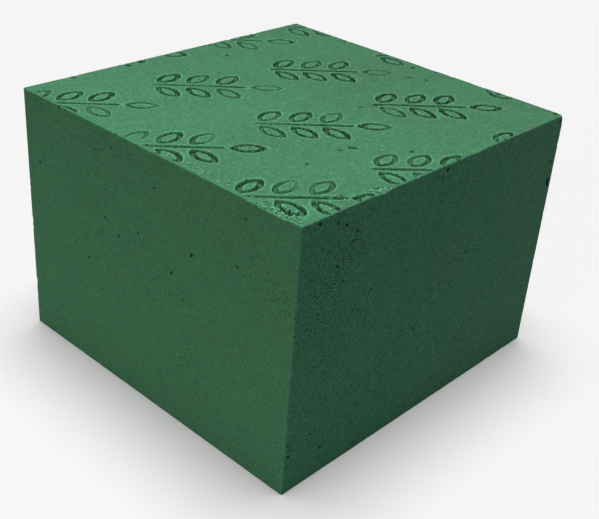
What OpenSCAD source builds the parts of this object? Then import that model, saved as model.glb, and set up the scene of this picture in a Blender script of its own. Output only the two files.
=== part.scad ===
// Floral foam brick: half of a standard brick, cut across, with a leafy sprig pressed into its top
// in an oblique all-over repeat. Millimetres. The origin is the middle of the base, and +Z is up.

/* [Brick] */
// Length of the piece, measured from the cut end to the end of the brick
brick_length = 114; // [60:1:230]
// Width of the piece, which is the full width of a brick
brick_width = 111; // [60:1:140]
// Height of the piece, which is the full height of a brick
brick_height = 80; // [40:1:120]

/* [Stamp repeat] */
// Distance between neighbouring sprigs along a row
row_pitch = 40.5; // [30:0.5:80]
// Distance between neighbouring sprigs along a column
column_pitch = 40.5; // [30:0.5:80]
// Direction of a row, measured from the brick's length
row_angle = -15.5; // [-30:0.5:0]
// Direction of a column, measured from the brick's length
column_angle = -86; // [-110:0.5:-60]
// Direction in which each sprig's stem points
sprig_angle = -41; // [-90:1:0]
// Place of the middle sprig along the brick's length, from the middle of the top
first_sprig_x = -7.5; // [-20:0.5:20]
// Place of the middle sprig across the brick's width, from the middle of the top
first_sprig_y = -17; // [-20:0.5:20]

/* [Sprig] */
// Width of the pressed line
line_width = 1.6; // [0.8:0.1:2]
// Depth of the pressed line
press_depth = 1.2; // [0.5:0.1:4]
// Number of pairs of leaves along the stem
leaf_pairs = 3; // [1:1:4]
// Length of a leaf from base to tip
leaf_length = 10.5; // [6:0.5:16]
// Width of a leaf at its middle
leaf_width = 5.8; // [5:0.2:8]
// Angle between the stem and a leaf of a pair
leaf_angle = 52; // [35:1:75]
// Gap left between the stem and a leaf
leaf_gap = 0.8; // [0.4:0.1:2]
// Gap left between one leaf and the next on the same side of the stem
leaf_spacing = 1.2; // [0.6:0.1:4]

/* [Hidden] */
$fn = 48;
// Overlap that carries a cut out through the top, so that no skin is left over it
cut_over = 1;
// A leaf's base stands off the stem's middle line by half the line and the gap
leaf_offset = line_width / 2 + leaf_gap;
// Distance along the stem that keeps neighbouring slanted leaves their gap apart
pair_pitch = (leaf_width + leaf_spacing) / sin(leaf_angle);
// The stem runs one pitch past its last pair of leaves, which leaves room for the leaf at its tip
stem_length = leaf_offset + leaf_pairs * pair_pitch;
sprig_length = stem_length + leaf_gap + leaf_length;
// A leaf is the overlap of two circles of this radius
leaf_radius = (pow(leaf_length, 2) + pow(leaf_width, 2)) / (4 * leaf_width);
// Sprigs are counted this far each way from the middle one
reach = ceil(max(brick_length, brick_width) / min(row_pitch, column_pitch)) + 1;

// Centre of the sprig in a given row and column, from the middle of the top
function sprig_centre(column, row) = [
    first_sprig_x + column * row_pitch * cos(row_angle) + row * column_pitch * cos(column_angle),
    first_sprig_y + column * row_pitch * sin(row_angle) + row * column_pitch * sin(column_angle)
];

// True if any of the sprig round this centre can reach the top face
function touches_top(centre) =
    abs(centre[0]) < (brick_length + sprig_length) / 2 && abs(centre[1]) < (brick_width + sprig_length) / 2;

// Solid leaf from the origin along +X; inset draws the same leaf smaller by that much all round
module leaf_shape(inset) {
    intersection_for(side = [-1, 1])
        translate([leaf_length / 2, side * (leaf_radius - leaf_width / 2)])
            circle(r = leaf_radius - inset);
}

// Leaf drawn as a line round its edge
module leaf_line() {
    difference() {
        leaf_shape(0);
        leaf_shape(line_width);
    }
}

// Straight stem with round ends
module stem_line() {
    translate([line_width / 2, -line_width / 2])
        square([stem_length - line_width, line_width]);
    for (end_x = [line_width / 2, stem_length - line_width / 2])
        translate([end_x, 0])
            circle(d = line_width);
}

// The whole sprig, centred on its own length
module sprig() {
    translate([-sprig_length / 2, 0]) {
        stem_line();
        translate([stem_length + leaf_gap, 0])
            leaf_line();
        for (pair = [0 : leaf_pairs - 1], side = [0, 1])
            mirror([0, side])
                translate([leaf_offset + pair * pair_pitch, leaf_offset])
                    rotate(leaf_angle)
                        leaf_line();
    }
}

// Every sprig of the repeat that reaches the top face
module stamp() {
    for (column = [-reach : reach], row = [-reach : reach])
        if (touches_top(sprig_centre(column, row)))
            translate(sprig_centre(column, row))
                rotate(sprig_angle)
                    sprig();
}

// The block of rigid open-cell foam, cut square, with the stamp pressed into its top
module foam_brick() {
    color("#4f8a67")
        difference() {
            translate([-brick_length / 2, -brick_width / 2, 0])
                cube([brick_length, brick_width, brick_height]);
            translate([0, 0, brick_height - press_depth])
                linear_extrude(press_depth + cut_over)
                    stamp();
        }
}

foam_brick();
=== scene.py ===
# %% [markdown]
# # A brick of floral foam
#
# The object is one block of rigid, open-cell foam, cut square, with a leafy sprig pressed over and
# over into its top. In Blender it is a single closed mesh whose detail is real geometry: pressed
# lines, open voids and worn edges. A few loose crumbs of foam lie on it.
#
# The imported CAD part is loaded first. It fixes the size and the place of everything that follows.

# %% Load the frame
import math

import bmesh
import bpy
import numpy as np
from mathutils import Euler, Matrix, Vector, noise


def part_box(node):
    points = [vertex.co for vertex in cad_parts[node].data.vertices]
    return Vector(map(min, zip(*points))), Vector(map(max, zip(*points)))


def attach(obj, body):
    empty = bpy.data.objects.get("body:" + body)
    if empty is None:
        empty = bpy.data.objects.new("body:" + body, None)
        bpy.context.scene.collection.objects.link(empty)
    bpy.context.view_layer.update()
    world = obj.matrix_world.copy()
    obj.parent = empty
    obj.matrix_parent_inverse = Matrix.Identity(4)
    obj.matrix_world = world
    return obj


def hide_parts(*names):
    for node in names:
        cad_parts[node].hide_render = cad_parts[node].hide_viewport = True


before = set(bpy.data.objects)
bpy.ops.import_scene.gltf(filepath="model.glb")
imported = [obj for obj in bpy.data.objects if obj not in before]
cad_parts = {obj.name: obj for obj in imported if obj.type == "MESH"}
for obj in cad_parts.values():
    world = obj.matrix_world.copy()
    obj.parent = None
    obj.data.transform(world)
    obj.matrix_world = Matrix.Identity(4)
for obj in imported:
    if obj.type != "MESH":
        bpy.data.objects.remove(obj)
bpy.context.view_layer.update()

MM = 0.001
low, high = (np.array(corner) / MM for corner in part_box("foam_brick"))
print("CAD nodes:", list(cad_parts))
print("foam_brick runs from", low.round(2), "to", high.round(2), "mm")

# %% [markdown]
# ## Two small helpers
#
# Colours are easiest to choose as the hex values of a colour picker, but shaders work in linear
# light, so one function turns one into the other. A second function adds a shader node: plain
# settings become properties, and the inputs take either a value or another node's output.


# %% Colour and node helpers
def linear(hex_colour):
    """Linear RGBA of an sRGB hex colour such as "4f8a67"."""
    channels = [int(hex_colour[i : i + 2], 16) / 255 for i in (0, 2, 4)]
    return [c / 12.92 if c <= 0.04045 else ((c + 0.055) / 1.055) ** 2.4 for c in channels] + [1.0]


def add_node(tree, kind, inputs=(), output=None, **settings):
    """A new node in tree, with its settings made and its inputs set or linked. The inputs come by name
    in a dict, or in the node's own order in a list. Gives back the node, or one of its outputs when
    that is named, ready to link onwards."""
    node = tree.nodes.new(kind)
    for name, value in settings.items():
        setattr(node, name, value)
    for name, value in inputs.items() if isinstance(inputs, dict) else enumerate(inputs):
        if isinstance(value, bpy.types.NodeSocket):
            tree.links.new(value, node.inputs[name])
        else:
            node.inputs[name].default_value = value
    return node if output is None else node.outputs[output]


print("sRGB grey 808080 is", round(linear("808080")[0], 3), "in linear light")

# %% [markdown]
# ## The pressed sprig, as a distance
#
# On the real brick a plate has pressed its mark into the foam, so every line is a groove about a
# millimetre deep with a flat, crushed floor. Such a mark could be cut with booleans, but foam
# crumbles along a cut, and a boolean leaves an edge like machined metal.
#
# Here the mark is described by a distance instead: how far a point on the top lies outside the
# nearest pressed line, with a minus sign inside the line. A distance is easy to roughen, and it also
# says where the mesh needs to be fine. The sizes are those of the CAD model, in millimetres.

# %% Sprig sizes
LINE_WIDTH = 1.6
PRESS_DEPTH = 1.2
LEAF_PAIRS = 3
LEAF_LENGTH, LEAF_WIDTH, LEAF_ANGLE = 10.5, 5.8, math.radians(52)
LEAF_GAP, LEAF_SPACING = 0.8, 1.2

leaf_offset = LINE_WIDTH / 2 + LEAF_GAP
pair_pitch = (LEAF_WIDTH + LEAF_SPACING) / math.sin(LEAF_ANGLE)
stem_length = leaf_offset + LEAF_PAIRS * pair_pitch
sprig_length = stem_length + LEAF_GAP + LEAF_LENGTH
leaf_radius = (LEAF_LENGTH**2 + LEAF_WIDTH**2) / (4 * LEAF_WIDTH)
print("one sprig is %.1f mm long" % sprig_length)


# %% Distances to a leaf and to a sprig
def turned(points, angle):
    """Points in the plane, turned by the angle."""
    c, s = math.cos(angle), math.sin(angle)
    return points @ np.array([[c, s], [-s, c]])


def leaf_distance(points):
    """Distance to a leaf drawn as a line, with its base at the origin and its tip along +X.
    The leaf is the overlap of two discs, and the line lies just inside its edge."""
    to_disc = [
        np.hypot(points[:, 0] - LEAF_LENGTH / 2, points[:, 1] - side * (leaf_radius - LEAF_WIDTH / 2))
        for side in (-1, 1)
    ]
    outside = np.maximum(*to_disc) - leaf_radius
    return np.abs(outside + LINE_WIDTH / 2) - LINE_WIDTH / 2


def sprig_distance(points):
    """Distance to a whole sprig that is centred on the origin, with its stem along +X."""
    points = points + [sprig_length / 2, 0]
    along = np.clip(points[:, 0], LINE_WIDTH / 2, stem_length - LINE_WIDTH / 2)
    nearest = np.hypot(points[:, 0] - along, points[:, 1]) - LINE_WIDTH / 2
    nearest = np.minimum(nearest, leaf_distance(points - [stem_length + LEAF_GAP, 0]))
    # The two leaves of a pair mirror each other, so one leaf on the folded plane serves both
    folded = np.column_stack([points[:, 0], np.abs(points[:, 1])])
    for pair in range(LEAF_PAIRS):
        base = [leaf_offset + pair * pair_pitch, leaf_offset]
        nearest = np.minimum(nearest, leaf_distance(turned(folded - base, -LEAF_ANGLE)))
    return nearest


print("at the middle of a sprig, on its stem, the distance is", sprig_distance(np.zeros((1, 2))).round(1))

# %% [markdown]
# ## The stamp
#
# The plate repeats the sprig on a slanted grid, and the grid runs past the edges, so some sprigs are
# cut through. An array of copies would do for loose pieces. Here it is enough to know where the
# centres are, because the distance to the stamp is the smallest distance to any one sprig.

# %% Sprigs over the whole top
ROW_PITCH, ROW_ANGLE = 40.5, math.radians(-15.5)
COLUMN_PITCH, COLUMN_ANGLE = 40.5, math.radians(-86)
SPRIG_ANGLE = math.radians(-41)
FIRST_SPRIG = np.array([-7.5, -17.0])
# Further off than any feature: every search for the nearest one starts from here
FAR = 1e3


def direction(angle):
    """Unit vector in the plane, at the angle from +X."""
    return np.array([math.cos(angle), math.sin(angle)])


rows_out = math.ceil(max(high[:2] - low[:2]) / min(ROW_PITCH, COLUMN_PITCH)) + 1
sprig_centres = [
    FIRST_SPRIG + column * ROW_PITCH * direction(ROW_ANGLE) + row * COLUMN_PITCH * direction(COLUMN_ANGLE)
    for column in range(-rows_out, rows_out + 1)
    for row in range(-rows_out, rows_out + 1)
]
sprig_centres = [centre for centre in sprig_centres if (abs(centre) < high[:2] + sprig_length / 2).all()]


def stamp_distance(points):
    """Distance from points on the top to the nearest pressed line, in millimetres."""
    nearest = np.full(len(points), FAR)
    for centre in sprig_centres:
        close = np.hypot(*(points - centre).T) < sprig_length
        placed = turned(points[close] - centre, -SPRIG_ANGLE)
        nearest[close] = np.minimum(nearest[close], sprig_distance(placed))
    return nearest


print(len(sprig_centres), "sprigs reach the top")

# %% [markdown]
# ## Voids in the foam
#
# Foam is full of bubbles, and where a cut opens a large one it shows as a small dark pit. The
# largest are listed one by one, because a few odd ones make a surface look real. The rest are scattered
# by a seeded random generator, so that each run gives the same brick.
#
# A void is (face, across, up, radius). A face is named by its outward direction, and the place is
# in the brick's own millimetres along the face's other two axes, in the order X, Y, Z.

# %% Large voids, listed one by one
# Each face by its outward direction: which axis that is, and its sign
FACES = {"+x": (0, 1), "-x": (0, -1), "+y": (1, 1), "-y": (1, -1), "+z": (2, 1), "-z": (2, -1)}
LARGE_VOIDS = [
    ("+z", -13.4, -32.1, 0.75), ("+z", -12.7, -33.0, 0.8), ("+z", -17.0, -31.6, 0.65),
    ("+z", -30.6, -32.2, 0.6), ("+z", 16.5, -15.5, 0.9), ("+z", 11.5, -14.0, 0.6),
    ("+z", -2.2, -43.9, 0.7), ("+z", 44.6, -6.4, 0.75), ("+z", 47.4, -11.0, 0.6),
    ("+z", 53.2, -1.0, 0.7), ("+z", 53.0, 13.6, 0.55), ("+z", 11.6, 43.2, 0.8),
    ("+z", -20.5, 53.6, 1.0), ("+z", -14.6, 54.2, 0.8), ("+z", -5.2, 54.0, 0.6),
    ("-y", 55.2, 58.8, 0.9), ("-y", 55.5, 57.4, 0.8), ("-y", 54.6, 65.4, 0.5),
    ("-y", 55.6, 78.4, 0.6), ("+z", 55.4, -53.4, 0.7), ("-y", -1.2, 78.4, 0.55),
    ("-y", -50.6, 78.6, 0.5), ("-y", -44.2, 76.8, 0.45), ("-y", -40.8, 75.2, 0.5),
    ("-y", -36.5, 72.2, 0.45), ("-y", -42.8, 64.4, 0.45), ("-y", -43.0, 8.4, 0.5),
    ("-y", -55.4, 12.2, 0.5), ("-y", -6.5, 31.0, 0.45), ("-y", -28.8, 2.2, 0.4),
    ("-x", -18.2, 56.4, 0.5), ("-x", 12.3, 49.5, 0.5), ("-x", 18.3, 52.8, 0.4),
    ("-x", -10.3, 47.7, 0.45), ("-x", -35.3, 60.4, 0.4), ("-x", -14.9, 41.5, 0.4),
    ("-x", -3.2, 70.2, 0.35), ("-x", -37.4, 74.8, 0.35), ("-x", 49.2, 58.7, 0.4),
    ("+x", 20.5, 61.0, 0.8), ("+x", -31.0, 22.5, 0.6), ("+x", 3.0, 37.0, 0.45),
    ("+y", -24.0, 66.5, 0.7), ("+y", 31.5, 18.0, 0.9), ("+y", 6.0, 44.0, 0.5),
    # Nicks in the top edges
    ("+z", -40.5, 54.2, 0.7), ("+z", 14.0, 54.0, 0.7), ("+z", 55.6, 31.0, 0.7), ("+z", 55.8, -8.5, 0.6),
    ("+z", 55.7, -33.0, 0.7), ("+z", -56.8, 38.0, 0.5), ("+z", -56.9, 12.5, 0.35), ("+z", 3.4, -55.1, 0.6),
    ("+z", 26.0, -55.2, 0.5),
]
print(len(LARGE_VOIDS), "large voids")

# %% Small voids, scattered
SMALL_VOIDS = {"-y": 40, "-x": 16, "+x": 18, "+y": 18, "+z": 8, "-z": 4}
SMALL_RADIUS = (0.24, 0.38)
EDGE_MARGIN = 1.0
# This side is coarser towards the corner that the two cut faces share. A power above 1 draws an even
# spread from 0 to 1 down towards 0.
COARSE_FACE, CORNER_PULL = "-y", 1.7

chance = np.random.default_rng(21)
voids = list(LARGE_VOIDS)
for face, count in SMALL_VOIDS.items():
    across, up = (axis for axis in range(3) if axis != FACES[face][0])
    spread = chance.random((count, 2))
    if face == COARSE_FACE:
        spread[:, 0] **= CORNER_PULL
    for u, v in spread:
        radius = chance.uniform(*SMALL_RADIUS)
        start, room = low + EDGE_MARGIN, high - low - 2 * EDGE_MARGIN
        place = (start + room * np.insert([u, v], FACES[face][0], 0.0))[[across, up]]
        voids.append((face, *place, radius))


def on_face(face, across, up):
    """Point of the brick's surface, from a face's name and the place on it."""
    axis, sign = FACES[face]
    point = np.insert([across, up], axis, high[axis] if sign > 0 else low[axis])
    return point.astype(float)


void_centres = np.array([on_face(*void[:3]) for void in voids])
void_radii = np.array([void[3] for void in voids])
print(len(voids), "voids, the largest", void_radii.max() * 2, "mm across")

# %% [markdown]
# ## The block
#
# A floral foam brick is sawn from a larger bun, so its faces are flat and its corners square. The
# mesh starts as a cube of the CAD model's size, cut into a coarse grid.

# %% Coarse block
BASE_CUTS = 31
size = high - low

block = bmesh.new()
bmesh.ops.create_cube(block, size=1.0)
bmesh.ops.scale(block, vec=size * MM, verts=block.verts)
bmesh.ops.translate(block, vec=(low + high) / 2 * MM, verts=block.verts)
bmesh.ops.subdivide_edges(block, edges=block.edges, cuts=BASE_CUTS, use_grid_fill=True)
print(len(block.faces), "faces to start with")

# %% Noise over many points, and a smooth step
# Each seed reads the same noise at another place, this much further along
SEED_STEP = (17.3, -9.1, 5.7)


def rough(points, grain, seed):
    """Smooth noise from -1 to 1 whose lumps are about grain millimetres across."""
    offset = Vector([seed * step for step in SEED_STEP])
    return np.array([noise.noise(Vector(point) / grain + offset) for point in points])


def ramp(x, start, end):
    """0 below start and 1 above end, with a smooth rise between."""
    t = np.clip((x - start) / (end - start), 0, 1)
    return t * t * (3 - 2 * t)


print("a ramp from 0 to 1 in quarters:", ramp(np.linspace(0, 1, 5), 0, 1))

# %% [markdown]
# ## Where the foam is broken
#
# Dry foam crumbles at a touch. Two patches of the top have crumbled by its near edges, and its
# right-hand corner is worn round. Each is a share from 0, sound, to 1, broken, so that the same
# description can split the mesh there first and lower it later.

# %% Broken patches and a worn corner
# Whatever lowers the top lowers the sides below it too, less and less, down to this depth
SIDE_BLEND = 5.0
# Middle and half-size of each patch, and the share of it over which the damage fades out
BROKEN = [((-56.4, -46.5), (3.6, 8.0)), ((-27.5, -55.0), (5.0, 2.0))]
BROKEN_FADE = (0.4, 1.0)
WORN_CORNER, WORN_REACH = np.array([high[0], low[1], high[2]]), 3.5


def brokenness(points):
    """1 in the middle of a broken patch of the top and 0 outside it."""
    share = np.zeros(len(points))
    for middle, half in BROKEN:
        apart = np.hypot(*((points[:, :2] - middle) / half).T)
        share = np.maximum(share, 1 - ramp(apart, *BROKEN_FADE))
    return share * (points[:, 2] > high[2] - SIDE_BLEND)


def corner_wear(points):
    """1 at the worn corner and 0 further than its reach."""
    return 1 - ramp(np.linalg.norm(points - WORN_CORNER, axis=1), 0, WORN_REACH)


print(len(BROKEN), "broken patches, and wear within", WORN_REACH, "mm of a corner")

# %% [markdown]
# ## A fine mesh only where it is needed
#
# A grid fine enough for the pressed lines everywhere would need millions of faces, so only the faces
# near a line, a void or an edge are split, and then split again. Each pass halves the faces that
# are left near a feature, and subdivide_edges joins fine to coarse without leaving gaps.

# %% Split the faces near a feature
# Half the width of the slope that a pressed line has for a wall
LIP = 0.1
# How wide a band along the edges is fine, for their rounding
EDGE_BAND = 0.25
# No face is split for a void that is further off than this
VOID_SEARCH = 3
# A broken patch is split down to this depth, and a worn corner where it is worn and near an edge
BROKEN_BAND, CORNER_SHARE, CORNER_BAND = 0.6, 0.2, 1.2
# How far from a feature a face may lie and still be split, in sizes of the face, one for each pass. A
# coarse face can be touched at its far corner, so the first passes reach further.
SLACKS = (0.75, 0.7, 0.55, 0.45)


def edge_distance(points):
    """Distance along the surface from points on it to the nearest edge of the block."""
    to_walls = np.minimum(points - low, high - points)
    return np.sort(to_walls, axis=1)[:, 1]


def void_distance(points):
    """Distance from points to the rim of the nearest void, where one is near."""
    nearest = np.full(len(points), FAR)
    for centre, radius in zip(void_centres, void_radii):
        close = np.flatnonzero(np.abs(points - centre).max(axis=1) < radius + VOID_SEARCH)
        gap = np.linalg.norm(points[close] - centre, axis=1) - radius
        nearest[close] = np.minimum(nearest[close], gap)
    return nearest


def split_near_features(slack, finest):
    """Halves every face within slack millimetres of a feature. The finest pass leaves out the edges,
    which don't need it."""
    centres = np.array([face.calc_center_median() for face in block.faces]) / MM
    wanted = void_distance(centres) < LIP + slack
    near_top = centres[:, 2] > high[2] - PRESS_DEPTH - slack
    rim = np.abs(stamp_distance(centres[:, :2])) < LIP + slack
    wanted |= near_top & rim
    wanted |= (brokenness(centres) > 0) & (centres[:, 2] > high[2] - BROKEN_BAND)
    if not finest:
        to_edge = edge_distance(centres)
        wanted |= to_edge < EDGE_BAND + slack
        wanted |= (corner_wear(centres) > CORNER_SHARE) & (to_edge < CORNER_BAND)
    chosen = {edge for face, take in zip(block.faces, wanted) if take for edge in face.edges}
    bmesh.ops.subdivide_edges(block, edges=list(chosen), cuts=1, use_grid_fill=True)


cell = size.max() / (BASE_CUTS + 1)
for step, slack in enumerate(SLACKS):
    split_near_features(slack * cell, finest=step == len(SLACKS) - 1)
    cell /= 2
    print("cells of %.2f mm: %d faces" % (cell, len(block.faces)))

# %% [markdown]
# ## Wave the faces
#
# The mesh has its detail where it is needed, and its points now move as a sculptor would move them.
# Each move is worked out for all points at once, in millimetres, from smooth 3-D noise.
#
# The first is the smallest. A saw wanders a little, so the faces wave by a tenth of a millimetre, and
# only inwards, so that the brick keeps its outside size. Points on an edge stay where they are.

# %% Wave the faces
# Height of the waves, their length, and how far in from an edge they reach their full height
WAVE, WAVE_LENGTH, WAVE_MARGIN = 0.12, 32, 12
# How close to a wall a point must be to lie on it
ON_WALL = 1e-3

flat = np.array([vert.co for vert in block.verts]) / MM
moved = flat.copy()

inward = np.zeros_like(flat)
for axis, sign in FACES.values():
    wall = high[axis] if sign > 0 else low[axis]
    inward[np.abs(flat[:, axis] - wall) < ON_WALL, axis] = -sign
on_one_face = np.abs(inward).sum(axis=1) == 1
wave = 0.5 + 0.5 * rough(flat, WAVE_LENGTH, seed=1)
wave = WAVE * wave * ramp(edge_distance(flat), 0, WAVE_MARGIN)
moved += inward * (wave * on_one_face)[:, None]
print("faces wave by up to %.2f mm" % wave.max())

# %% [markdown]
# ## Press the sprigs
#
# The sprigs are pressed in, to an uneven depth, because the foam under the plate isn't even. Where a
# line runs off the edge the foam gives way sideways, and the mark fades out. Under it the side of the
# block is lowered too, less and less further down, so that no thin ledge is left.

# %% Press the sprigs
# Each roughness has a strength and a grain, in millimetres: the line's edges crumble in grains and
# fray finely, and its depth changes from patch to patch and from grain to grain
CRUMBLE, CRUMBLE_GRAIN = 0.13, 0.7
FRAY, FRAY_GRAIN = 0.06, 0.3
PATCHY, PATCHY_GRAIN = 0.7, 12
GRITTY, GRITTY_GRAIN = 0.08, 0.8
LEAST_DEPTH = 0.15
# What is left of the depth at an edge, and how far in from it the depth comes back
EDGE_SHARE, EDGE_FADE = 0.12, (0.2, 1.8)
# A line's walls slope, so where it is shallow it is also narrower, by up to this much on each side
NARROWING = 0.4

near = np.flatnonzero(flat[:, 2] > high[2] - SIDE_BLEND)
spots = flat[near]
gap = stamp_distance(spots[:, :2])
gap = gap + CRUMBLE * rough(spots, CRUMBLE_GRAIN, seed=2) + FRAY * rough(spots, FRAY_GRAIN, seed=3)
depth = PRESS_DEPTH * (PATCHY + PATCHY * rough(spots, PATCHY_GRAIN, seed=4))
depth = depth + GRITTY * rough(spots, GRITTY_GRAIN, seed=5)
depth = np.clip(depth, LEAST_DEPTH, PRESS_DEPTH)
to_side = np.minimum(spots - low, high - spots)[:, :2].min(axis=1)
depth *= EDGE_SHARE + (1 - EDGE_SHARE) * ramp(to_side, *EDGE_FADE)
gap += NARROWING * (1 - depth / PRESS_DEPTH)
share = 1 - np.clip((high[2] - spots[:, 2]) / SIDE_BLEND, 0, 1)
pressed = depth * (1 - ramp(gap, -LIP, LIP)) * share
moved[near, 2] -= pressed
print("lines pressed up to %.2f mm deep" % pressed.max())

# %% Mark the lines for painted shade and a painted highlight in the material
# Where each mark fades in or out, in millimetres outside the edge of a line
FLOOR_FADE, WALL_FADE = (-0.35, -0.1), (0, 0.15)
RIM_RISE, RIM_FADE = (0.05, 0.2), (0.35, 0.7)
# A line is marked in full from a little less than its full depth
FIRMNESS = 1.3

firm = share * np.clip(FIRMNESS * depth / PRESS_DEPTH, 0, 1)
line_wall_shade, line_floor_shade, line_rim_highlight = np.zeros((3, len(flat)))
# Painted shade for the floor and the walls of each line
line_floor_shade[near] = firm * (1 - ramp(gap, *FLOOR_FADE))
line_wall_shade[near] = firm * (1 - ramp(gap, *WALL_FADE)) * ramp(gap, *FLOOR_FADE)
# A painted highlight along the rim of each line
line_rim_highlight[near] = firm * ramp(gap, *RIM_RISE) * (1 - ramp(gap, *RIM_FADE))
print(int((line_floor_shade > 0.5).sum()), "points on the floor of a line")

# %% Crumble the broken patches
BREAK_DEPTH = 0.9
# Chips of two sizes, in millimetres, add to and take from an even half
CHIPS, COARSE_CHIP, FINE_CHIP = 0.35, 0.9, 0.45

grit = 0.5 + CHIPS * rough(spots, COARSE_CHIP, seed=9) + CHIPS * rough(spots, FINE_CHIP, seed=10)
crumbled = BREAK_DEPTH * brokenness(spots) * np.clip(grit, 0, 1) * share
moved[near, 2] -= crumbled
print("patches crumbled up to %.2f mm deep" % crumbled.max())

# %% [markdown]
# ## Open the voids
#
# A bubble that the saw has cut open is a deep bowl with a ragged rim. Each is pushed straight into
# its face, half as deep again as the half of a sphere. Cutting spheres out would give the same pits,
# but with clean round rims, and with slivers in the mesh all round them.

# %% Open the voids
# How deep a bowl is for its radius, how far round a void points are moved, and how ragged its rim is
VOID_DEPTH, VOID_REACH, VOID_RAGGED = 1.5, 1.5, 0.35
# The material paints shade into a bowl, in full from this share of its depth
DARK_FROM = 0.6

hollow_shade = np.zeros(len(flat))
for centre, radius, (face, *_) in zip(void_centres, void_radii, voids):
    axis, sign = FACES[face]
    close = np.flatnonzero(np.abs(flat - centre).max(axis=1) < radius * VOID_REACH)
    spots = flat[close]
    from_centre = np.linalg.norm(spots - centre, axis=1)
    from_centre = from_centre * (1 + VOID_RAGGED * rough(spots, radius, seed=6))
    bowl = np.sqrt(np.clip(radius**2 - from_centre**2, 0, None))
    moved[close, axis] -= sign * VOID_DEPTH * bowl
    # Painted shade inside each void, for the material
    hollow_shade[close] = np.maximum(hollow_shade[close], ramp(bowl / radius, 0.0, DARK_FROM))
print("deepest void goes in", round(float(void_radii.max() * VOID_DEPTH), 2), "mm")

# %% [markdown]
# ## Break the edges
#
# No edge of dry foam stays sharp, since it rubs away at a touch. A bevel would round all the edges
# alike. Here each point near an edge is drawn to a sphere that rolls along inside the block, and the
# sphere is larger where noise says that the edge has seen more wear.

# %% Break the edges
# Radius of a sound edge, and what full wear adds to it. Wear at the corner counts for more.
ROUND, WORN, CORNER_WEAR = 0.25, 0.5, 1.5
# Wear comes in stretches, with chips in them, and starts where their sum passes a threshold
STRETCH, CHIP, CHIP_STRENGTH = 5, 1.2, 0.6
WEAR_RANGE = (0.1, 1.0)
# A point just past the start of the rounding still counts, and no length is divided by zero
JUST_PAST, TINY = 1.01, 1e-9

wear = rough(flat, STRETCH, seed=7) + CHIP_STRENGTH * rough(flat, CHIP, seed=8)
wear = np.maximum(ramp(wear, *WEAR_RANGE), CORNER_WEAR * corner_wear(flat))
radius = (ROUND + WORN * wear)[:, None]
core = np.clip(moved, low + radius, high - radius)
out = moved - core
length = np.linalg.norm(out, axis=1, keepdims=True)
near_edge = (edge_distance(flat)[:, None] < radius * JUST_PAST) & (length > radius)
moved = np.where(near_edge, core + out * radius / np.maximum(length, TINY), moved)

for vert, place in zip(block.verts, moved * MM):
    vert.co = place
print("edges are rounded by %.2f to %.2f mm" % (ROUND, ROUND + WORN * wear.max()))

# %% Mark the worn edges and their painted highlight for the material
# Along the edges the colour is paler within this distance: partly the paler foam of a rubbed edge,
# partly a painted highlight, so a sound edge is paler too, if less so
EDGE_MARK, SOUND_SHARE = (0.1, 0.7), 0.4

worn_edge_and_highlight = SOUND_SHARE + (1 - SOUND_SHARE) * wear.clip(0, 1)
worn_edge_and_highlight = (1 - ramp(edge_distance(flat), *EDGE_MARK)) * worn_edge_and_highlight
print(int((worn_edge_and_highlight > 0.5).sum()), "points on a worn edge")

# %% [markdown]
# ## From bmesh to object
#
# The faces get one of three finishes by the way they looked before anything moved: the pressed top,
# the knife-cut end, and the sawn rest. Then the mesh becomes an object at the origin, as every CAD
# node is, so that patterns on Object coordinates stay where they are.

# %% Make the brick
TOP, END, SAWN = range(3)


def finish_of(centre):
    """Which finish a face has, from where its middle was on the flat block."""
    if centre[2] > high[2] - ON_WALL:
        return TOP
    return END if centre[0] < low[0] + ON_WALL else SAWN


block.verts.index_update()
for face in block.faces:
    face.smooth = True
    face.material_index = finish_of(flat[[vert.index for vert in face.verts]].mean(axis=0))
bmesh.ops.triangulate(block, faces=[face for face in block.faces if len(face.verts) > 4])
bmesh.ops.recalc_face_normals(block, faces=block.faces)

mesh = bpy.data.meshes.new("floral_foam_brick")
block.to_mesh(mesh)
block.free()
marks = {
    "line_wall_shade": line_wall_shade,
    "line_floor_shade": line_floor_shade,
    "line_rim_highlight": line_rim_highlight,
    "hollow_shade": hollow_shade,
    "worn_edge_and_highlight": worn_edge_and_highlight,
}
for name, values in marks.items():
    mesh.attributes.new(name, "FLOAT", "POINT").data.foreach_set("value", values)
brick = bpy.data.objects.new("floral_foam_brick", mesh)
bpy.context.scene.collection.objects.link(brick)
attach(brick, "root")
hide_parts("foam_brick")
print(sum(len(face.vertices) - 2 for face in mesh.polygons), "triangles in the brick")

# %% [markdown]
# ## Loose crumbs
#
# Dry floral foam sheds grains wherever it is handled, and they lie on the top by the front corner.
# Each is an icosphere of twenty faces with its points pushed about, which is plenty for a grain
# half a millimetre across. All of them are one mesh, because nobody would pick them up one by one.

# %% Scatter the crumbs
# Middle of each patch, its half-size, and how many grains lie there
CRUMB_PATCHES = [
    ((-54.8, -47.0), (2.6, 8.0), 90),
    ((-28.0, -53.8), (5.0, 1.6), 36),
    ((-44.0, -50.0), (12.0, 5.0), 24),
    ((-30.0, -30.0), (26.0, 24.0), 20),
    ((-55.0, -20.0), (2.0, 26.0), 40),
]
# Spread is a share of the half-size, and no grain lies nearer to an edge of the top than the margin
CRUMB_SPREAD, CRUMB_MARGIN = 0.5, 0.6
# Each point of a grain moves in or out by this much, and the grain's middle stands this share of its
# radius above the foam, less what it sinks in
CRUMB_RADIUS, CRUMB_LUMPS = (0.1, 0.34), (0.65, 1.2)
CRUMB_STAND, SUNK = 0.6, 0.05

# The top as it is now, lowered by lines and broken patches, so that each grain rests on real foam
top_points = flat[:, 2] > high[2] - ON_WALL
top_places, top_heights = flat[top_points, :2], moved[top_points, 2]

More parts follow.
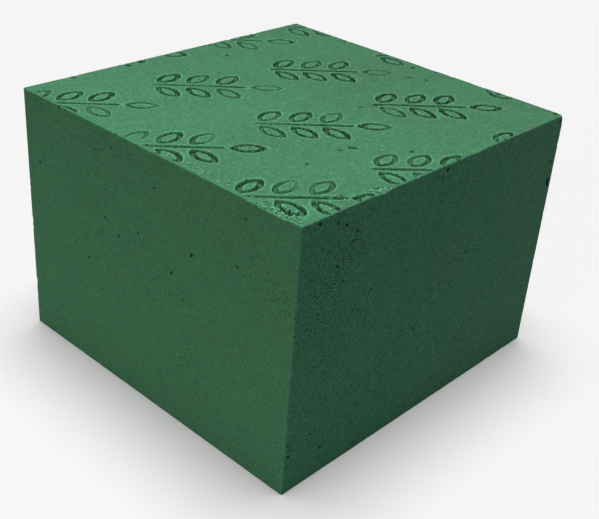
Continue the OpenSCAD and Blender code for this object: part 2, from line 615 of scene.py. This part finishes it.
crumbs = bmesh.new()
for middle, half, count in CRUMB_PATCHES:
    for _ in range(count):
        spot = np.array(middle) + np.array(half) * np.clip(chance.normal(0, CRUMB_SPREAD, 2), -1, 1)
        spot = np.clip(spot, low[:2] + CRUMB_MARGIN, high[:2] - CRUMB_MARGIN)
        radius = chance.uniform(*CRUMB_RADIUS)
        ground = top_heights[np.hypot(*(top_places - spot).T).argmin()]
        grain = bmesh.ops.create_icosphere(crumbs, subdivisions=1, radius=radius * MM)["verts"]
        for vert in grain:
            vert.co *= chance.uniform(*CRUMB_LUMPS)
        turn = Euler(chance.uniform(0, math.tau, 3)).to_matrix()
        bmesh.ops.rotate(crumbs, cent=(0, 0, 0), matrix=turn, verts=grain)
        place = Vector((*spot, ground - SUNK + radius * CRUMB_STAND)) * MM
        bmesh.ops.translate(crumbs, vec=place, verts=grain)
bmesh.ops.recalc_face_normals(crumbs, faces=crumbs.faces)

crumb_mesh = bpy.data.meshes.new("loose_crumbs")
crumbs.to_mesh(crumb_mesh)
crumbs.free()
loose_crumbs = bpy.data.objects.new("loose_crumbs", crumb_mesh)
bpy.context.scene.collection.objects.link(loose_crumbs)
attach(loose_crumbs, "root")
print(len(crumb_mesh.polygons), "faces in the crumbs")

# %% [markdown]
# ## Green phenolic foam
#
# Floral foam is phenolic resin blown into open cells about a third of a millimetre across. The cells
# trap light, so it looks matt and velvety and never shines, and dye makes it green all through. What
# the eye sees on it, from large to small: a slow drift in colour, since the bun's dye wasn't quite
# even, and on the top a painted shade that darkens it towards the end at +X; a fine grain, which is
# the cells; pin pores, some with a pale cut lip; and pale flecks where a broken cell wall catches the
# light.
#
# All of that comes from noise and Voronoi textures in 3-D, read at the object's own coordinates, so
# the pattern goes right through the block as the foam does. Image textures would be another way, but
# they need unwrapping, and they stretch or repeat. Sizes are real ones, in millimetres. The cells are
# drawn half as large again as they are, because a third of a millimetre would not show.
#
# The material is built up in layers, and each layer is one function. The first is the dye, which on the
# top also paints shade that darkens towards the end at +X. Where a layer reads a value, a Map Range
# node takes it, the two ends of the range it is read over, and the results at those ends.


# %% The dye, and painted shade along the top
# The drift from one green to the other, at the two ends of the brick, and what noise adds to it:
# the width of its patches in millimetres and its strength. On the top the second green is the darker,
# so there the drift along the brick is painted shade.
DRIFT_ALONG = (-0.55, 0.05)
DRIFTS = ((30, 0.875), (5, 0.625))


def per_mm(size):
    """A texture's scale for a feature of that size in millimetres."""
    return 1 / (size * MM)


def dyed_and_shaded(tree, place, along, shade, tint):
    """Colour that drifts between two greens: slowly along the brick, in blotches, and in patches. On the top
    the slow drift is painted shade, darker towards the end at +X.
    """
    drift = [along, low[0] * MM, high[0] * MM, *DRIFT_ALONG]
    drift = add_node(tree, "ShaderNodeMapRange", drift, "Result")
    for size, strength in DRIFTS:
        cloud = add_node(tree, "ShaderNodeTexNoise", {"Vector": place, "Scale": per_mm(size)}, "Fac")
        drift = add_node(tree, "ShaderNodeMath", [cloud, strength, drift], "Value", operation="MULTIPLY_ADD")
    # A colour Mix has its two colours at inputs 6 and 7, and its result at output 2
    dye = {"Factor": drift, 6: linear(shade), 7: linear(tint)}
    return add_node(tree, "ShaderNodeMix", dye, 2, data_type="RGBA")


print("dye drifts in patches of", [size for size, _ in DRIFTS], "mm")

# %% [markdown]
# ## Cells and tones
#
# Each cell is a small bowl of its own shade, with paler walls between. A Voronoi texture gives both:
# a random value for each cell, and the distance from its middle, which rises towards the walls.
#
# The second function lightens and darkens the dye by the cells, by soft lumps, and by the marks that
# the mesh carries for its lines, voids and edges. These marks paint shade into the walls and floors of
# the lines and into the voids, a highlight along the rims of the lines, and a paler band along the
# edges that is partly wear and partly a painted highlight.

# %% Cells and tones
# Width of a cell in millimetres, how much its own shade and its walls count, and where the sum starts
CELL, CELL_SHADE, CELL_WALL, CELL_BASE = 0.5, 0.67, 0.86, -0.22
# Lumps a few cells wide, the part of their noise that is used, and their strength beside the grain
LUMP, LUMP_RANGE, LUMP_SHARE = 1.6, (0.3, 0.7), 1 / 4
# What each mark on the mesh multiplies the colour by, where it is full: painted shade for the walls
# and floors of the lines and for the voids, a painted highlight for the rims of the lines, and for the
# edges a paler band, partly wear and partly painted highlight
MARK_TONES = {"line_wall_shade": 0.23, "line_floor_shade": 0.62, "line_rim_highlight": 1.55, "hollow_shade": 0.12, "worn_edge_and_highlight": 1.25}


def cell_bowls(tree, place):
    """Height of the cells, about 0 in the middle of a low one and 1 on the wall of a high one."""
    bowls = add_node(tree, "ShaderNodeTexVoronoi", {"Vector": place, "Scale": per_mm(CELL)})
    cells = CELL_BASE
    for part, strength in (("Color", CELL_SHADE), ("Distance", CELL_WALL)):
        terms = [bowls.outputs[part], strength, cells]
        cells = add_node(tree, "ShaderNodeMath", terms, "Value", operation="MULTIPLY_ADD")
    return cells


def toned(tree, place, colour, cells, grain):
    """The colour, lightened and darkened by the cells, the lumps and the marks on the mesh."""
    lumps = add_node(tree, "ShaderNodeTexNoise", {"Vector": place, "Scale": per_mm(LUMP)}, "Fac")
    weak = grain * LUMP_SHARE
    tones = [[cells, 0.0, 1.0, 1 - grain, 1 + grain], [lumps, *LUMP_RANGE, 1 - weak, 1 + weak]]
    for mark, change in MARK_TONES.items():
        amount = add_node(tree, "ShaderNodeAttribute", output="Fac", attribute_name=mark)
        tones.append([amount, 0.0, 1.0, 1.0, change])
    for terms in tones:
        tone = add_node(tree, "ShaderNodeMapRange", terms, "Result")
        scaled = {0: colour, "Scale": tone}
        colour = add_node(tree, "ShaderNodeVectorMath", scaled, "Vector", operation="SCALE")
    return colour


print("cells of", CELL, "mm, and tones for", *MARK_TONES)

# %% [markdown]
# ## Pin pores
#
# Small bubbles that a cut has opened are pin pores. They are wider in some patches than in others,
# wider still at the corner that the two cut faces share, and no two are the same. There are too many
# to model, so they are dots of painted shade: the middles of Voronoi cells, up to a reach that noise
# changes from place to place. On coarse foam each has a paler lip, where the saw tore it.

# %% Pin pores
# Millimetres between pores and across a coarse patch, how ragged the patches are, and the painted shade
# inside a pore
PORE_SPACING, PORE_PATCH, PORE_DETAIL, PORE_SHADE_GREEN = 0.8, 16, 3.0, "0d2016"
# Moves the coarse patches up, to where the cut faces are coarsest
PATCH_SHIFT = (0.0, 0.0, 35 * MM)
# How far a pore reaches, as a share of the spacing, where the noise is low and where it is high, and
# how much a pore's own size changes that
REACH_FROM, REACH = (0.35, 0.7), (0.1, 0.28)
OWN_FROM, OWN_SIZE = (0.3, 0.7), (0.2, 1.3)
# The coarse corner fades out at this share of the way from the middle to the far end
CORNER_END = 0.8
# Where the dark of a pore comes in, and where its lip does, counted inwards from its rim
PORE_FADE, LIP_FADE = (0.0, 0.05), (-0.1, -0.03)
LIP_GREEN = "5f9f7c"


def pore_depth(tree, place, along, coarse_corner):
    """How far a pore reaches at each point, and how far inside its pore the point lies."""
    pore_cells = add_node(tree, "ShaderNodeTexVoronoi", {"Vector": place, "Scale": per_mm(PORE_SPACING)})
    shifted = add_node(tree, "ShaderNodeVectorMath", [place, PATCH_SHIFT], "Vector", operation="SUBTRACT")
    patches = {"Vector": shifted, "Scale": per_mm(PORE_PATCH), "Detail": PORE_DETAIL}
    patches = add_node(tree, "ShaderNodeTexNoise", patches, "Fac")
    reach = add_node(tree, "ShaderNodeMapRange", [patches, *REACH_FROM, *REACH], "Result")
    corner = [along, low[0] * MM, CORNER_END * high[0] * MM, coarse_corner, 0.0]
    corner = add_node(tree, "ShaderNodeMapRange", corner, "Result")
    reach = add_node(tree, "ShaderNodeMath", [reach, corner], "Value", operation="ADD")
    own_size = [pore_cells.outputs["Color"], *OWN_FROM, *OWN_SIZE]
    own_size = add_node(tree, "ShaderNodeMapRange", own_size, "Result")
    inside = add_node(tree, "ShaderNodeMath", [reach, own_size], "Value", operation="MULTIPLY")
    inside = [inside, pore_cells.outputs["Distance"]]
    return reach, add_node(tree, "ShaderNodeMath", inside, "Value", operation="SUBTRACT")


def pored(tree, colour, reach, inside, pores, lips):
    """The colour with painted shade in the pores and their paler lips, and how deep the pores are, from 0 to
    1.
    """
    pore = add_node(tree, "ShaderNodeMapRange", [inside, *PORE_FADE, 0.0, pores], "Result")
    shadow = {"Factor": pore, 6: colour, 7: linear(PORE_SHADE_GREEN)}
    colour = add_node(tree, "ShaderNodeMix", shadow, 2, data_type="RGBA")
    lip = add_node(tree, "ShaderNodeMapRange", [inside, *LIP_FADE, 0.0, lips], "Result")
    lip = add_node(tree, "ShaderNodeMath", [lip, reach], "Value", operation="MULTIPLY")
    lip = add_node(tree, "ShaderNodeMath", [lip, pore], "Value", operation="SUBTRACT")
    torn = {"Factor": lip, 6: colour, 7: linear(LIP_GREEN)}
    return add_node(tree, "ShaderNodeMix", torn, 2, data_type="RGBA"), pore


widest_pore = 2 * REACH[1] * OWN_SIZE[1] * PORE_SPACING
print("pores about %.1f mm apart and up to %.1f mm wide" % (PORE_SPACING, widest_pore))

# %% [markdown]
# ## Flecks
#
# Here and there a flake of broken cell wall faces the light and shows as a pale fleck. Flecks are
# dots like the pores, but sparser, since only the cells with a high random value of their own have one.

# %% Flecks
FLECK_SPACING, FLECK_GREEN = 1.5, "5f9f7c"
# A fleck's size as a share of the spacing, from its full brightness to none, and which cells have one
FLECK_SIZE, FLECK_CHOICE = (0.08, 0.18), (0.4, 0.7)


def flecked(tree, place, colour, flecks):
    """The colour with pale flecks here and there."""
    dots = add_node(tree, "ShaderNodeTexVoronoi", {"Vector": place, "Scale": per_mm(FLECK_SPACING)})
    near_middle = [dots.outputs["Distance"], *FLECK_SIZE, flecks, 0.0]
    near_middle = add_node(tree, "ShaderNodeMapRange", near_middle, "Result")
    some = [dots.outputs["Color"], *FLECK_CHOICE, 0.0, 1.0]
    some = add_node(tree, "ShaderNodeMapRange", some, "Result")
    fleck = add_node(tree, "ShaderNodeMath", [near_middle, some], "Value", operation="MULTIPLY")
    glint = {"Factor": fleck, 6: colour, 7: linear(FLECK_GREEN)}
    return add_node(tree, "ShaderNodeMix", glint, 2, data_type="RGBA")


print("a fleck at most every", FLECK_SPACING, "mm")

# %% [markdown]
# ## The whole foam, and its finishes
#
# The layers go one on another: dye, tones, pores, flecks. The cells and the pores also make a relief,
# in which the grain is shallow and a pore is a deeper hole. The foam is very rough and has almost no
# gloss, because the light that enters its cells doesn't come straight back.

# %% Foam material
RELIEF, RELIEF_STRENGTH = 0.3 * MM, 0.7
ROUGHNESS, GLOSS = 0.95, 0.04


def foam(name, shade, tint, grain, pores, flecks, lips=0.0, coarse_corner=0.0):
    """Open-cell phenolic foam. shade and tint are the two greens that it drifts between. The rest say
    how strong the grain is, how dark the painted shade in the pores is, how bright the flecks and the
    pores' cut lips are, and how much the pores widen towards the corner that the two cut faces share."""
    material = bpy.data.materials.new(name)
    material.use_nodes = True
    tree = material.node_tree
    tree.nodes.clear()
    place = add_node(tree, "ShaderNodeTexCoord", output="Object")
    along = add_node(tree, "ShaderNodeSeparateXYZ", [place], "X")
    cells = cell_bowls(tree, place)
    colour = dyed_and_shaded(tree, place, along, shade, tint)
    colour = toned(tree, place, colour, cells, grain)
    reach, inside = pore_depth(tree, place, along, coarse_corner)
    colour, pore = pored(tree, colour, reach, inside, pores, lips)
    colour = flecked(tree, place, colour, flecks)

    height = add_node(tree, "ShaderNodeMath", [cells, pore], "Value", operation="SUBTRACT")
    relief = {"Height": height, "Strength": RELIEF_STRENGTH, "Distance": RELIEF}
    relief = add_node(tree, "ShaderNodeBump", relief, "Normal")
    look = {"Base Color": colour, "Normal": relief, "Roughness": ROUGHNESS, "Specular IOR Level": GLOSS}
    shader = add_node(tree, "ShaderNodeBsdfPrincipled", look, "BSDF")
    add_node(tree, "ShaderNodeOutputMaterial", {"Surface": shader})
    return material


print("relief of %.1f mm in the foam" % (RELIEF / MM))

# %% Finishes
# The pressed top is the skin of the foam, so it is the palest: a clear green with small bright flecks,
# with painted shade that darkens it towards the end at +X
pressed_foam = foam("phenolic_foam_pressed", "366449", "33563f", grain=0.24, pores=0.35, flecks=0.4)
# The knife-cut end is the smoothest: a quiet, slightly warmer green with few pores
cut_foam = foam("phenolic_foam_knife_cut", "335e44", "375d41", grain=0.18, pores=0.55, flecks=0.12)
# The sawn sides are the coarsest: a deep green, darker in part as painted shade, peppered with pores
# that are painted dark as shade and have pale lips
coarse = {"pores": 0.95, "lips": 1.3, "coarse_corner": 0.065}
sawn_foam = foam("phenolic_foam_sawn", "2a5641", "335642", grain=0.25, flecks=0.4, **coarse)
# A crumb has no skin, and it is given a paler green than the block that it came from, partly as
# painted light, since a crumb is lit all round
crumb_foam = foam("phenolic_foam_crumb", "578f70", "6ea486", grain=0.2, pores=0.2, flecks=0.3)

# In the order of TOP, END and SAWN
for finish in (pressed_foam, cut_foam, sawn_foam):
    brick.data.materials.append(finish)
loose_crumbs.data.materials.append(crumb_foam)
print("each of", len(brick.data.materials), "finishes has", len(sawn_foam.node_tree.nodes), "nodes")

# %% [markdown]
# ## Floor
#
# The brick stands on a plain pale floor of matt grey card, which looks nearly white under this light
# and gives the sides a soft glow. It is a single large square, and no part of the object.

# %% Floor
FLOOR_HALF = 20.0

floor_grid = bmesh.new()
bmesh.ops.create_grid(floor_grid, x_segments=1, y_segments=1, size=FLOOR_HALF)
floor_mesh = bpy.data.meshes.new("floor")
floor_grid.to_mesh(floor_mesh)
floor_grid.free()
floor = bpy.data.objects.new("floor", floor_mesh)
bpy.context.scene.collection.objects.link(floor)

card = bpy.data.materials.new("pale_floor_card")
card.use_nodes = True
matt = card.node_tree.nodes["Principled BSDF"]
matt.inputs["Base Color"].default_value = linear("aaaaaa")
matt.inputs["Roughness"].default_value = 1.0
matt.inputs["Specular IOR Level"].default_value = 0.0
floor.data.materials.append(card)
print("floor of", 2 * FLOOR_HALF, "m")

# %% [markdown]
# ## Studio light
#
# The scene could be lit by an image of a real room, but four lamps and a plain sky are easier to
# understand. A broad sun, as soft as a large window, stands almost overhead, so the top is bright
# and the sides are in gentle shade. A warm panel on the left lifts the cut end. Two low strips light
# the foot of each near side, where the brick shades the floor and little light comes back up. The
# sky fills in what is left.


# %% Lamps
def aimed(way):
    """Rotation that points a lamp or a camera, which look along -Z, in a direction."""
    return Vector(way).to_track_quat("-Z", "Y")


def add_light(name, kind, energy, colour, place, way, **settings):
    """A lamp at a place in metres, shining in a direction."""
    data = bpy.data.lights.new(name, kind)
    data.energy = energy
    data.color = colour
    for key, value in settings.items():
        setattr(data, key, value)
    lamp = bpy.data.objects.new(name, data)
    lamp.location = place
    lamp.rotation_mode = "QUATERNION"
    lamp.rotation_quaternion = aimed(way)
    bpy.context.scene.collection.objects.link(lamp)


WHITE, WARM = (1.0, 1.0, 1.0), (1.0, 0.93, 0.76)
SUN_TILT, SUN_FROM, SUN_SOFTNESS = math.radians(4), math.radians(45), math.radians(40)
# Strength of the sun in watts per square metre, and of the panel and the strips in watts
SUN, PANEL, LEFT_STRIP, RIGHT_STRIP = 6.7, 1.55, 0.019, 0.012

sideways = math.sin(SUN_TILT)
sun_way = (-sideways * math.cos(SUN_FROM), -sideways * math.sin(SUN_FROM), -math.cos(SUN_TILT))
add_light("window_light", "SUN", SUN, WHITE, (0.3, 0.3, 0.8), sun_way, angle=SUN_SOFTNESS)
add_light("warm_panel", "AREA", PANEL, WARM, (-0.7, 0.1, 0.1), (1.0, -0.1, -0.05), size=0.5)
# Shallow and narrow-beamed, so that each reaches the foot of its side and little else
strip = {"shape": "RECTANGLE", "size": 0.3, "size_y": 0.03, "spread": math.radians(45)}
add_light("low_strip_left", "AREA", LEFT_STRIP, WHITE, (-0.3, 0.01, 0.02), (1.0, 0.0, -0.04), **strip)
add_light("low_strip_right", "AREA", RIGHT_STRIP, WHITE, (0.0, -0.3, 0.02), (0.0, 1.0, -0.04), **strip)
print(len(bpy.data.lights), "lamps")

# %% Sky
# Seen directly, the room is as pale as the floor. As a light it is dim, so that the shade stays deep.
SKY_AS_LIGHT, SKY_AS_SEEN = 0.12, 0.92
SKY_COLOUR = (0.98, 0.99, 1.0, 1.0)

world = bpy.data.worlds.new("studio")
world.use_nodes = True
studio = world.node_tree
studio.nodes.clear()
seen = add_node(studio, "ShaderNodeLightPath", output="Is Camera Ray")
strength = add_node(studio, "ShaderNodeMapRange", [seen, 0.0, 1.0, SKY_AS_LIGHT, SKY_AS_SEEN], "Result")
room = add_node(studio, "ShaderNodeBackground", {"Color": SKY_COLOUR, "Strength": strength}, "Background")
add_node(studio, "ShaderNodeOutputWorld", {"Surface": room})
bpy.context.scene.world = world
bpy.context.scene.view_settings.view_transform = "Standard"
print("sky of strength", SKY_AS_LIGHT, "as a light, seen as", SKY_AS_SEEN)

# %% [markdown]
# ## Camera
#
# The camera looks down at the nearest corner from about a third of a metre, with a lens a little
# longer than normal, so the upright edges draw together towards the ground. It is tilted a few
# degrees, as a camera held in the hand is.

# %% Place the camera
LENS, SENSOR = 60.9, 36.0
AIM = Vector((-1.6, -6.6, 30.1)) * MM
HEADING, LOOK_DOWN, TILT = math.radians(41.4), math.radians(29.35), math.radians(4.45)
DISTANCE = 316.9 * MM

level = math.cos(LOOK_DOWN)
look = Vector((level * math.cos(HEADING), level * math.sin(HEADING), -math.sin(LOOK_DOWN)))
camera_data = bpy.data.cameras.new("camera")
camera_data.lens = LENS
camera_data.sensor_width = SENSOR
camera = bpy.data.objects.new("camera", camera_data)
turn = aimed(look).to_matrix() @ Matrix.Rotation(TILT, 3, "Z")
camera.matrix_world = Matrix.Translation(AIM - look * DISTANCE) @ turn.to_4x4()
bpy.context.scene.collection.objects.link(camera)
bpy.context.scene.camera = camera
print("camera stands at", [round(v / MM) for v in camera.location], "mm")
